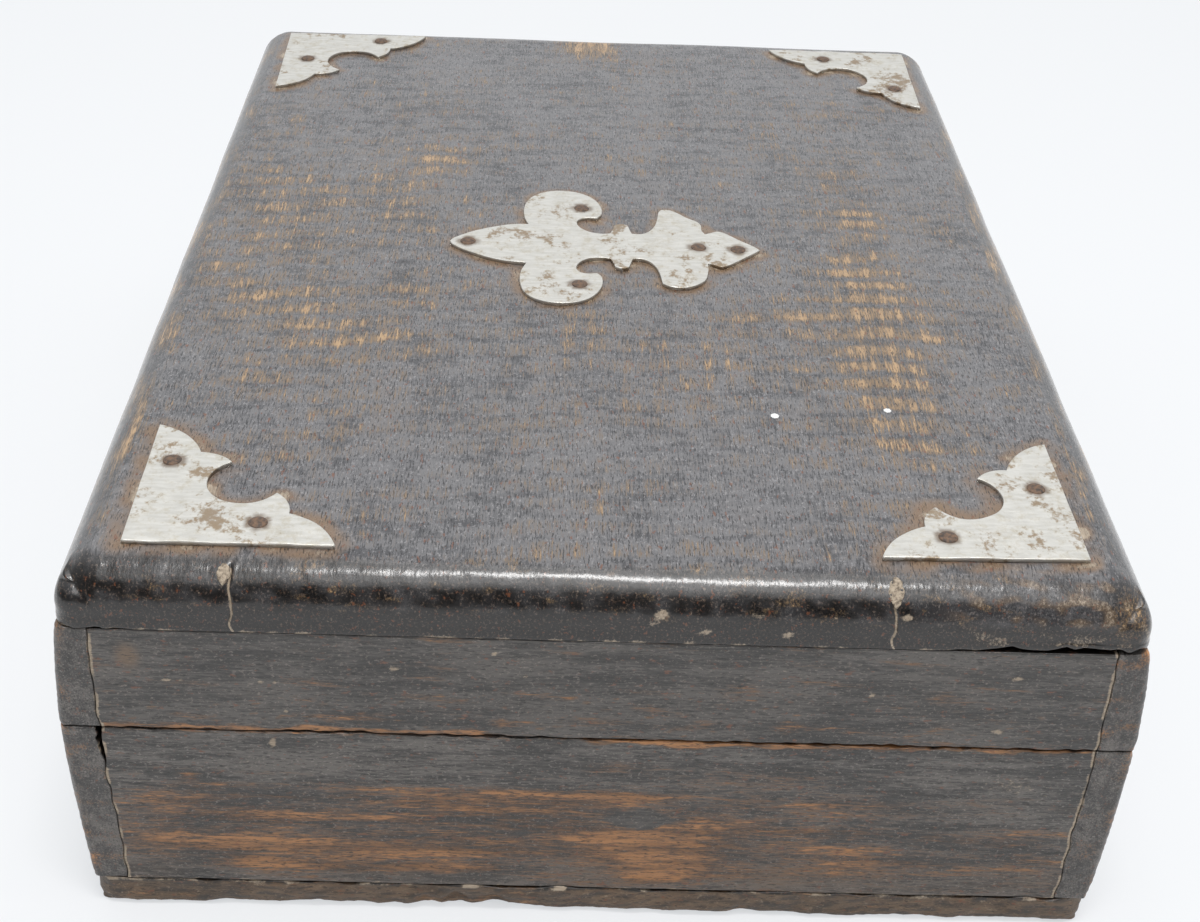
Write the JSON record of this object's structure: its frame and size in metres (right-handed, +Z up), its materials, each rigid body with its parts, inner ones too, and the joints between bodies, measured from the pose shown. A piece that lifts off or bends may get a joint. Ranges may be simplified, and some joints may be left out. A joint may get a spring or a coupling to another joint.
{
  "type": "silverware chest",
  "caption": "Shallow wooden cutlery chest with a rounded-edge framed lid on butt hinges, pierced sheet metal corner plates and a fleur-de-lis plate.",
  "frame": {"origin": "the middle of the underside, on the surface that the chest stands on", "axes": "+X along the chest to the right end, +Y from the front to the hinges, +Z up"},
  "size_m": [0.275, 0.2154, 0.0874],
  "materials": {
    "dark_wood": "old dark stain, worn through to orange-brown wood on edges and high spots, satin",
    "bare_wood": "unfinished brown wood, dull",
    "sheet_metal": "light grey sheet, brushed by wear, speckled with brown stains",
    "iron": "dark rusted nail heads",
    "hinge_brass": "tarnished brass",
    "filler": "dry buff filler with dust in it"
  },
  "bodies": {
    "chest": {"bottom_board": "dark_wood", "body_end_left": "dark_wood", "body_end_right": "dark_wood", "body_front": "dark_wood", "body_back": "dark_wood", "partition_front": "bare_wood", "partition_back": "bare_wood", "body_corner_nails": "iron", "bottom_nails": "iron", "hinge_left_body_leaf": "hinge_brass", "hinge_right_body_leaf": "hinge_brass", "hinge_left_pin": "hinge_brass", "hinge_right_pin": "hinge_brass", "body_hinge_screws": "hinge_brass"},
    "lid": {"lid_end_left": "dark_wood", "lid_end_right": "dark_wood", "lid_front": "dark_wood", "lid_back": "dark_wood", "lid_corner_nails": "iron", "lid_top": "dark_wood", "lid_top_nails": "iron", "nail_plugs": "filler", "hinge_left_lid_leaf": "hinge_brass", "hinge_right_lid_leaf": "hinge_brass", "lid_hinge_screws": "hinge_brass", "corner_plate_back_left": "sheet_metal", "corner_plate_front_left": "sheet_metal", "corner_plate_back_right": "sheet_metal", "corner_plate_front_right": "sheet_metal", "corner_plate_nails": "iron", "fleur_plate": "sheet_metal", "fleur_plate_nails": "iron"}
  },
  "joints": [
    {"name": "lid_hinge", "type": "hinge", "parent": "chest", "child": "lid", "pos_m": [0, 0.1078, 0.04845], "axis": [-1, 0, 0], "range_deg": [0, 180]}
  ]
}
